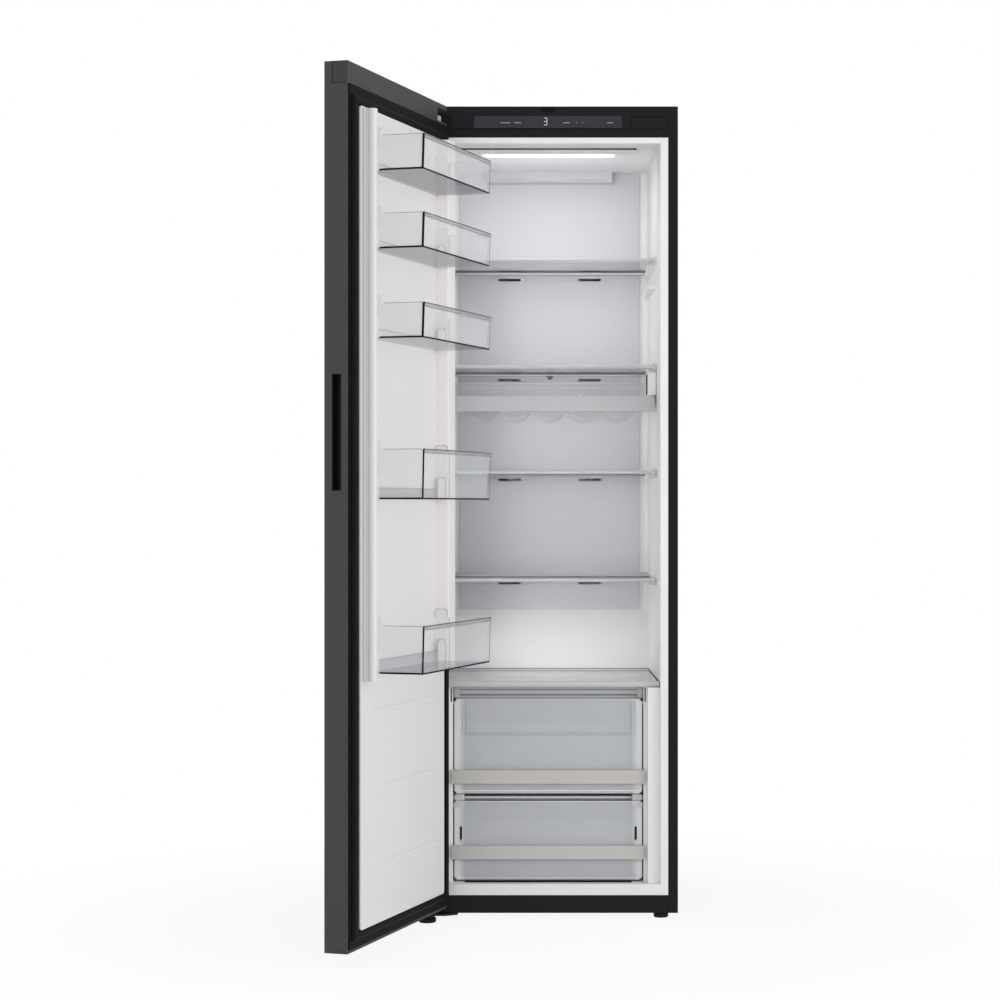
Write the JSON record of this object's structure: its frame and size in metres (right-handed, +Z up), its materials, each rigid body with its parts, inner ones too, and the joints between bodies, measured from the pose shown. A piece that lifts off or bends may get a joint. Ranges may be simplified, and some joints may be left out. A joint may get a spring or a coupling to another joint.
{
  "type": "all-refrigerator",
  "caption": "Tall free-standing larder refrigerator with one door open on the left, glass shelves, bottle rack, crisper drawers and clear door bins.",
  "frame": {"origin": "on the floor, below the middle of the cabinet's front plane", "axes": "+X to the right seen from the front, +Y back into the cabinet, +Z up"},
  "size_m": [0.7507, 1.2432, 1.86],
  "materials": {
    "cabinet_steel": "satin",
    "door_steel": "satin",
    "zinc_steel": "satin",
    "machine_black": "satin",
    "aluminium": "satin",
    "dark_plastic": "matte",
    "cap_plastic": "matte",
    "display": "gloss",
    "white_plastic": "satin",
    "duct_plastic": "satin",
    "trim_plastic": "satin",
    "lens": "satin",
    "clear_plastic": "clear",
    "grip_plastic": "satin",
    "shelf_glass": "clear",
    "rubber": "matte",
    "foam": "matte",
    "board": "matte"
  },
  "bodies": {
    "cabinet": {"side_panels": "cabinet_steel", "top_panel": "cabinet_steel", "back_panel": "cabinet_steel", "front_flange": "cabinet_steel", "plinth": "dark_plastic", "base_plate": "zinc_steel", "inner_liner": "white_plastic", "insulation_foam": "foam", "control_housing": "dark_plastic", "control_display": "display", "hinge_blank_cover": "dark_plastic", "control_board": "board", "duct_panel": "duct_plastic", "lamp_cover": "white_plastic", "led_strip": "lens", "shelf_1_glass": "shelf_glass", "shelf_2_glass": "shelf_glass", "shelf_3_glass": "shelf_glass", "shelf_4_glass": "shelf_glass", "shelf_trims": "trim_plastic", "crisper_cover_glass": "shelf_glass", "crisper_cover_frame": "trim_plastic", "drawer_guides": "white_plastic", "rack_hangers": "white_plastic", "top_hinge": "zinc_steel", "bottom_hinge": "zinc_steel", "roller_axles": "zinc_steel", "compressor": "machine_black", "condenser": "machine_black", "fan_bracket": "dark_plastic", "drain_pan": "dark_plastic", "rear_cover": "cabinet_steel", "evaporator": "aluminium", "power_inlet": "dark_plastic"},
    "door": {"door_front_panel": "door_steel", "door_top_cap": "cap_plastic", "door_bottom_cap": "cap_plastic", "door_foam": "foam", "door_liner": "white_plastic", "door_gasket": "rubber", "handle_insert": "dark_plastic", "hinge_bushes": "white_plastic"},
    "door_bin_1": {"door_bin_1": "clear_plastic"},
    "door_bin_2": {"door_bin_2": "clear_plastic"},
    "door_bin_3": {"door_bin_3": "clear_plastic"},
    "door_bin_4": {"door_bin_4": "clear_plastic"},
    "door_bin_5": {"door_bin_5": "clear_plastic"},
    "upper_drawer": {"upper_drawer_bin": "clear_plastic", "upper_drawer_handle": "grip_plastic"},
    "lower_drawer": {"lower_drawer_bin": "clear_plastic", "lower_drawer_handle": "grip_plastic"},
    "bottle_rack": {"rack_tray": "clear_plastic", "rack_front_band": "trim_plastic"},
    "condenser_fan": {"condenser_fan": "dark_plastic"},
    "evaporator_fan": {"evaporator_fan": "white_plastic"},
    "foot_left": {"foot_left": "dark_plastic"},
    "foot_right": {"foot_right": "dark_plastic"},
    "rear_roller_left": {"rear_roller_left": "rubber"},
    "rear_roller_right": {"rear_roller_right": "rubber"}
  },
  "joints": [
    {"name": "door_hinge", "type": "hinge", "parent": "cabinet", "child": "door", "pos_m": [-0.2735, -0.05, 0.9], "axis": [0, 0, -1], "range_deg": [-107, 13]},
    {"name": "door_bin_1_lift", "type": "slide", "parent": "door", "child": "door_bin_1", "axis": [0, 0, 1], "range_m": [0, 0.025]},
    {"name": "door_bin_2_lift", "type": "slide", "parent": "door", "child": "door_bin_2", "axis": [0, 0, 1], "range_m": [0, 0.025]},
    {"name": "door_bin_3_lift", "type": "slide", "parent": "door", "child": "door_bin_3", "axis": [0, 0, 1], "range_m": [0, 0.025]},
    {"name": "door_bin_4_lift", "type": "slide", "parent": "door", "child": "door_bin_4", "axis": [0, 0, 1], "range_m": [0, 0.025]},
    {"name": "door_bin_5_lift", "type": "slide", "parent": "door", "child": "door_bin_5", "axis": [0, 0, 1], "range_m": [0, 0.025]},
    {"name": "upper_drawer_slide", "type": "slide", "parent": "cabinet", "child": "upper_drawer", "axis": [0, -1, 0], "range_m": [0, 0.3]},
    {"name": "lower_drawer_slide", "type": "slide", "parent": "cabinet", "child": "lower_drawer", "axis": [0, -1, 0], "range_m": [0, 0.3]},
    {"name": "bottle_rack_slide", "type": "slide", "parent": "cabinet", "child": "bottle_rack", "axis": [0, -1, 0], "range_m": [0, 0.15]},
    {"name": "condenser_fan_spin", "type": "hinge", "parent": "cabinet", "child": "condenser_fan", "pos_m": [-0.05, 0.558, 0.105], "axis": [1, 0, 0], "continuous": true},
    {"name": "evaporator_fan_spin", "type": "hinge", "parent": "cabinet", "child": "evaporator_fan", "pos_m": [0, 0.535, 1.16], "axis": [0, 1, 0], "continuous": true},
    {"name": "foot_left_spin", "type": "hinge", "parent": "cabinet", "child": "foot_left", "pos_m": [-0.2735, -0.05, 0.005], "axis": [0, 0, 1], "continuous": true},
    {"name": "foot_right_spin", "type": "hinge", "parent": "cabinet", "child": "foot_right", "pos_m": [0.259, 0.021, 0.005], "axis": [0, 0, 1], "continuous": true},
    {"name": "rear_roller_left_spin", "type": "hinge", "parent": "cabinet", "child": "rear_roller_left", "pos_m": [-0.225, 0.585, 0.018], "axis": [1, 0, 0], "continuous": true},
    {"name": "rear_roller_right_spin", "type": "hinge", "parent": "cabinet", "child": "rear_roller_right", "pos_m": [0.225, 0.585, 0.018], "axis": [1, 0, 0], "continuous": true}
  ]
}
